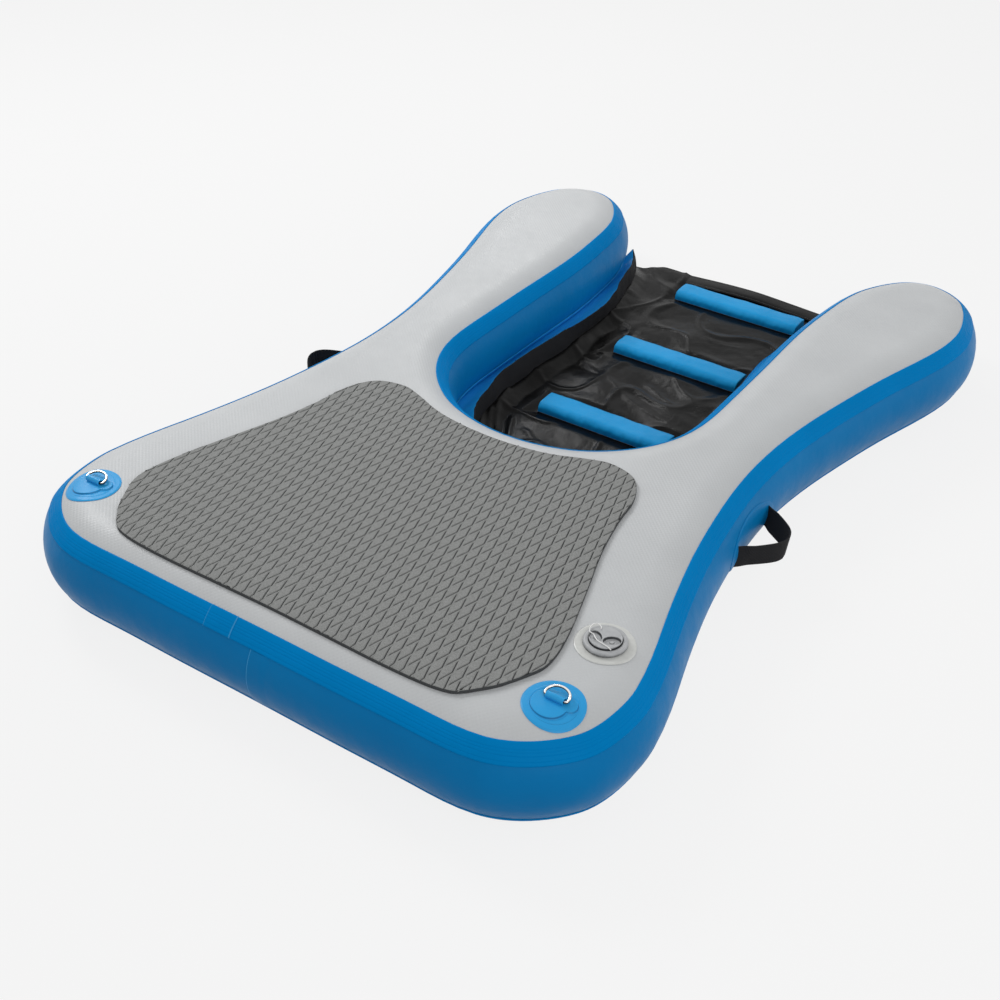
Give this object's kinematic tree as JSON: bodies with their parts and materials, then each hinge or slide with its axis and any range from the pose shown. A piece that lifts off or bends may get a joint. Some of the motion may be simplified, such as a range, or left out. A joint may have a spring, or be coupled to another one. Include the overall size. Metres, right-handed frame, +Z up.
{
  "type": "inflatable dog water ramp",
  "caption": "Drop-stitch inflatable ramp with a grey deck, blue sides, a foam pad and a black fabric ramp with padded rungs slung between two arms.",
  "frame": {"origin": "centre of the part's bounding box, at the height of the floor that it lies on", "axes": "+X across the ramp, to the side with the valve; +Y from the dock edge to the arm tips; +Z up"},
  "size_m": [0.9634, 1.4632, 0.1626],
  "materials": {
    "drop_stitch": "matte",
    "grey_skin": "satin",
    "blue_wall": "satin",
    "patch_blue": "satin",
    "pad_foam": "matte",
    "black_webbing": "matte",
    "black_fabric": "glossy",
    "rung_cover": "satin",
    "rung_foam": "matte",
    "steel": "polished",
    "valve_plastic": "satin",
    "seal_rubber": "matte"
  },
  "bodies": {
    "hull": {"drop_stitch_core": "drop_stitch", "top_skin": "grey_skin", "bottom_skin": "grey_skin", "side_wall": "blue_wall", "top_seam_tape": "blue_wall", "bottom_seam_tape": "blue_wall", "traction_pad": "pad_foam", "left_d_ring_patch": "patch_blue", "left_d_ring_cover": "patch_blue", "left_d_ring_sleeve": "patch_blue", "right_d_ring_patch": "patch_blue", "right_d_ring_cover": "patch_blue", "right_d_ring_sleeve": "patch_blue", "valve_patch": "grey_skin", "valve_body": "valve_plastic", "valve_nut": "valve_plastic", "valve_guide": "valve_plastic", "valve_spring": "steel", "valve_cap_tether": "valve_plastic", "left_handle_patch": "patch_blue", "right_handle_patch": "patch_blue", "ramp_flap": "patch_blue", "ramp_hinge_piping": "black_webbing"},
    "ramp": {"ramp_edge_webbing": "black_webbing", "ramp_fabric": "black_fabric", "ramp_hem_webbing": "black_webbing", "rung_1_sleeve": "rung_cover", "rung_1_foam": "rung_foam", "rung_2_sleeve": "rung_cover", "rung_2_foam": "rung_foam", "rung_3_sleeve": "rung_cover", "rung_3_foam": "rung_foam"},
    "left_d_ring": {"left_d_ring": "steel"},
    "right_d_ring": {"right_d_ring": "steel"},
    "valve_cap": {"valve_cap": "valve_plastic", "valve_cap_gasket": "seal_rubber"},
    "valve_poppet": {"valve_poppet": "valve_plastic", "valve_poppet_seal": "seal_rubber"},
    "left_handle": {"left_handle_strap": "black_webbing"},
    "right_handle": {"right_handle_strap": "black_webbing"}
  },
  "joints": [
    {"name": "left_d_ring_flip", "type": "hinge", "parent": "hull", "child": "left_d_ring", "pos_m": [-0.372, -0.61337, 0.157], "axis": [1, 0, 0], "range_deg": [-10, 166]},
    {"name": "right_d_ring_flip", "type": "hinge", "parent": "hull", "child": "right_d_ring", "pos_m": [0.372, -0.61337, 0.157], "axis": [1, 0, 0], "range_deg": [-10, 166]},
    {"name": "valve_cap_turn", "type": "hinge", "parent": "hull", "child": "valve_cap", "pos_m": [0.368, -0.49337, 0.1562], "axis": [0, 0, 1], "range_deg": [0, 90]},
    {"name": "valve_poppet_press", "type": "slide", "parent": "hull", "child": "valve_poppet", "axis": [0, 0, -1], "range_m": [0, 0.006], "stiffness_N_per_m": 200, "springref_m": -0.002, "deforming": ["valve_spring"]},
    {"name": "left_handle_swing", "type": "hinge", "parent": "hull", "child": "left_handle", "pos_m": [-0.38576, -0.08901, 0.06959], "axis": [0.0797, 0.9968, 0], "range_deg": [-35, 35]},
    {"name": "right_handle_swing", "type": "hinge", "parent": "hull", "child": "right_handle", "pos_m": [0.38576, -0.08901, 0.06959], "axis": [-0.0797, 0.9968, 0], "range_deg": [-35, 35]},
    {"name": "ramp_drop", "type": "hinge", "parent": "hull", "child": "ramp", "pos_m": [0, -0.10437, 0.0528], "axis": [1, 0, 0], "range_deg": [-4, 0]}
  ]
}
